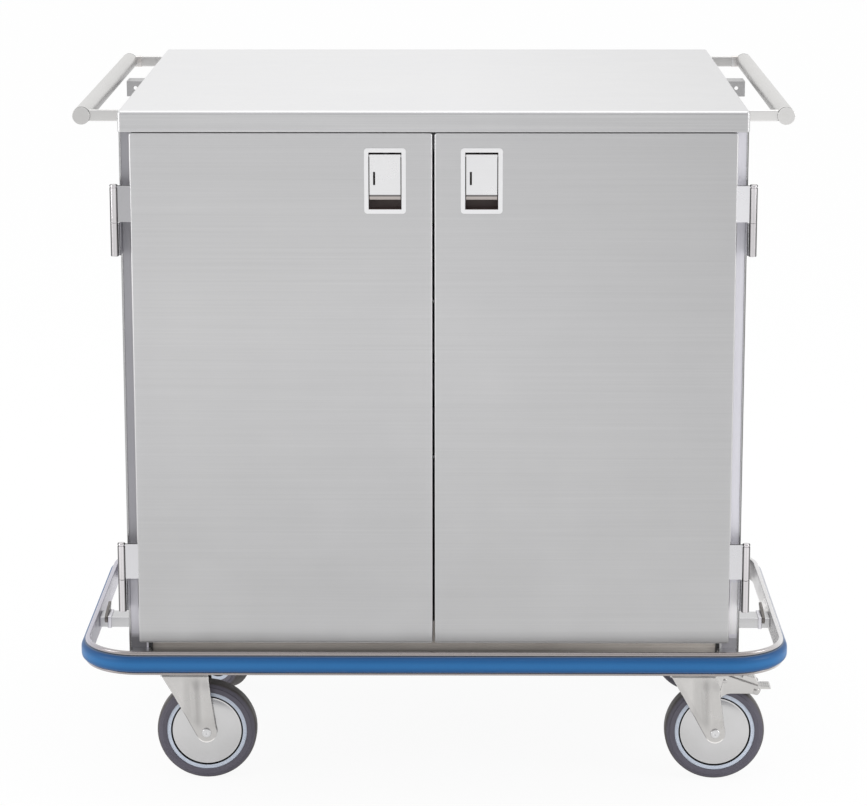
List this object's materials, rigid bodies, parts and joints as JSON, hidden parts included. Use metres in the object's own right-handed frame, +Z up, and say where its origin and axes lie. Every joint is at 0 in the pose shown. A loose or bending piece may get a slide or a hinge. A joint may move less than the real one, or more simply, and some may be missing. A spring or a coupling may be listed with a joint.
{
  "type": "case cart",
  "caption": "Closed stainless case cart with hinged doors, paddle latches, wire shelves, side push handles, bumper ring and braked swivel casters.",
  "frame": {"origin": "on the floor under the middle of the cart", "axes": "+X to the right of a person facing the doors, +Y from the doors to the back, +Z up"},
  "size_m": [1.052, 0.822, 1.0539],
  "materials": {
    "panel_steel": "satin stainless sheet with fine horizontal grain",
    "door_steel": "satin stainless sheet with fine horizontal grain",
    "fitting_steel": "machined stainless, smoother than the sheet",
    "latch_steel": "bright satin chrome",
    "handle_steel": "polished stainless tube",
    "bumper_steel": "satin stainless channel",
    "bumper_vinyl": "satin blue vinyl",
    "shelf_wire": "bright wire",
    "fork_steel": "satin pressed stainless",
    "bolt_steel": "plain stainless",
    "tyre_rubber": "grey elastic rubber",
    "wheel_core": "pale blue-grey polyamide",
    "cover_steel": "polished dished disc"
  },
  "bodies": {
    "root": {"top_panel": "panel_steel", "side_panel_left": "panel_steel", "side_panel_right": "panel_steel", "back_panel": "panel_steel", "floor_pan": "panel_steel", "front_post_left": "panel_steel", "front_post_right": "panel_steel", "header_rail": "panel_steel", "sill_rail": "panel_steel", "latch_strike": "fitting_steel", "shelf_standards": "fitting_steel", "shelf_runners": "fitting_steel", "shelf_lower": "shelf_wire", "shelf_upper": "shelf_wire", "hinge_frame_halves": "fitting_steel", "handle_tube_left": "handle_steel", "handle_tube_right": "handle_steel", "handle_arms": "handle_steel", "handle_caps": "handle_steel", "door_catches": "fitting_steel", "bumper_channel": "bumper_steel", "bumper_strip": "bumper_vinyl", "bumper_brackets": "bumper_steel", "chassis_rails": "panel_steel", "caster_plates": "fork_steel", "caster_bolts": "bolt_steel"},
    "door_left": {"door_skin_left": "door_steel", "door_liner_left": "door_steel", "hinge_door_halves_left": "fitting_steel", "latch_cup_left": "latch_steel"},
    "paddle_left": {"latch_paddle_left": "latch_steel"},
    "bolt_left": {"latch_bolt_left": "bolt_steel"},
    "door_right": {"door_skin_right": "door_steel", "door_liner_right": "door_steel", "hinge_door_halves_right": "fitting_steel", "latch_cup_right": "latch_steel"},
    "paddle_right": {"latch_paddle_right": "latch_steel"},
    "bolt_right": {"latch_bolt_right": "bolt_steel"},
    "caster_front_left": {"caster_fork_front_left": "fork_steel", "caster_axle_front_left": "bolt_steel"},
    "rolling_front_left": {"tyre_front_left": "tyre_rubber", "wheel_front_left": "wheel_core", "wheel_covers_front_left": "cover_steel"},
    "caster_front_right": {"caster_fork_front_right": "fork_steel", "caster_axle_front_right": "bolt_steel"},
    "rolling_front_right": {"tyre_front_right": "tyre_rubber", "wheel_front_right": "wheel_core", "wheel_covers_front_right": "cover_steel"},
    "pedal_front_right": {"brake_pedal_front_right": "fork_steel"},
    "caster_rear_left": {"caster_fork_rear_left": "fork_steel", "caster_axle_rear_left": "bolt_steel"},
    "rolling_rear_left": {"tyre_rear_left": "tyre_rubber", "wheel_rear_left": "wheel_core", "wheel_covers_rear_left": "cover_steel"},
    "caster_rear_right": {"caster_fork_rear_right": "fork_steel", "caster_axle_rear_right": "bolt_steel"},
    "rolling_rear_right": {"tyre_rear_right": "tyre_rubber", "wheel_rear_right": "wheel_core", "wheel_covers_rear_right": "cover_steel"},
    "pedal_rear_right": {"brake_pedal_rear_right": "fork_steel"}
  },
  "joints": [
    {"name": "door_left_swing", "type": "hinge", "parent": "root", "child": "door_left", "pos_m": [-0.457, -0.376, 0.889], "axis": [0, 0, 1], "range_deg": [-270, 0]},
    {"name": "paddle_left_pull", "type": "hinge", "parent": "door_left", "child": "paddle_left", "pos_m": [-0.069, -0.3735, 0.9856], "axis": [-1, 0, 0], "range_deg": [0, 30], "stiffness_Nm_per_rad": 0.05, "springref_deg": -28.65},
    {"name": "bolt_left_slide", "type": "slide", "parent": "door_left", "child": "bolt_left", "axis": [0, 0, -1], "range_m": [0, 0.0085]},
    {"name": "door_right_swing", "type": "hinge", "parent": "root", "child": "door_right", "pos_m": [0.457, -0.376, 0.889], "axis": [0, 0, 1], "range_deg": [0, 270]},
    {"name": "paddle_right_pull", "type": "hinge", "parent": "door_right", "child": "paddle_right", "pos_m": [0.069, -0.3735, 0.9856], "axis": [1, 0, 0], "range_deg": [-30, 0], "stiffness_Nm_per_rad": 0.05, "springref_deg": 28.65},
    {"name": "bolt_right_slide", "type": "slide", "parent": "door_right", "child": "bolt_right", "axis": [0, 0, -1], "range_m": [0, 0.0085]},
    {"name": "caster_front_left_swivel", "type": "hinge", "parent": "root", "child": "caster_front_left", "pos_m": [-0.388, -0.226, 0.171], "axis": [0, 0, 1], "continuous": true},
    {"name": "wheel_front_left_spin", "type": "hinge", "parent": "caster_front_left", "child": "rolling_front_left", "pos_m": [-0.348, -0.226, 0.0762], "axis": [0, 1, 0], "continuous": true},
    {"name": "caster_front_right_swivel", "type": "hinge", "parent": "root", "child": "caster_front_right", "pos_m": [0.388, -0.226, 0.171], "axis": [0, 0, 1], "continuous": true},
    {"name": "wheel_front_right_spin", "type": "hinge", "parent": "caster_front_right", "child": "rolling_front_right", "pos_m": [0.428, -0.226, 0.0762], "axis": [0, 1, 0], "continuous": true},
    {"name": "brake_front_right_press", "type": "hinge", "parent": "caster_front_right", "child": "pedal_front_right", "pos_m": [0.489, -0.226, 0.144], "axis": [0, 1, 0], "range_deg": [0, 10]},
    {"name": "caster_rear_left_swivel", "type": "hinge", "parent": "root", "child": "caster_rear_left", "pos_m": [-0.388, 0.226, 0.171], "axis": [0, 0, 1], "continuous": true},
    {"name": "wheel_rear_left_spin", "type": "hinge", "parent": "caster_rear_left", "child": "rolling_rear_left", "pos_m": [-0.36229, 0.19536, 0.0762], "axis": [0.766, 0.6428, 0], "continuous": true},
    {"name": "caster_rear_right_swivel", "type": "hinge", "parent": "root", "child": "caster_rear_right", "pos_m": [0.388, 0.226, 0.171], "axis": [0, 0, 1], "continuous": true},
    {"name": "wheel_rear_right_spin", "type": "hinge", "parent": "caster_rear_right", "child": "rolling_rear_right", "pos_m": [0.41371, 0.19536, 0.0762], "axis": [0.766, 0.6428, 0], "continuous": true},
    {"name": "brake_rear_right_press", "type": "hinge", "parent": "caster_rear_right", "child": "pedal_rear_right", "pos_m": [0.45292, 0.14863, 0.144], "axis": [0.766, 0.6428, 0], "range_deg": [0, 10]}
  ],
  "couplings": [
    {"joint": "bolt_left_slide", "follows": "paddle_left_pull", "m_per_rad": 0.01623},
    {"joint": "bolt_right_slide", "follows": "paddle_right_pull", "m_per_rad": -0.01623}
  ]
}
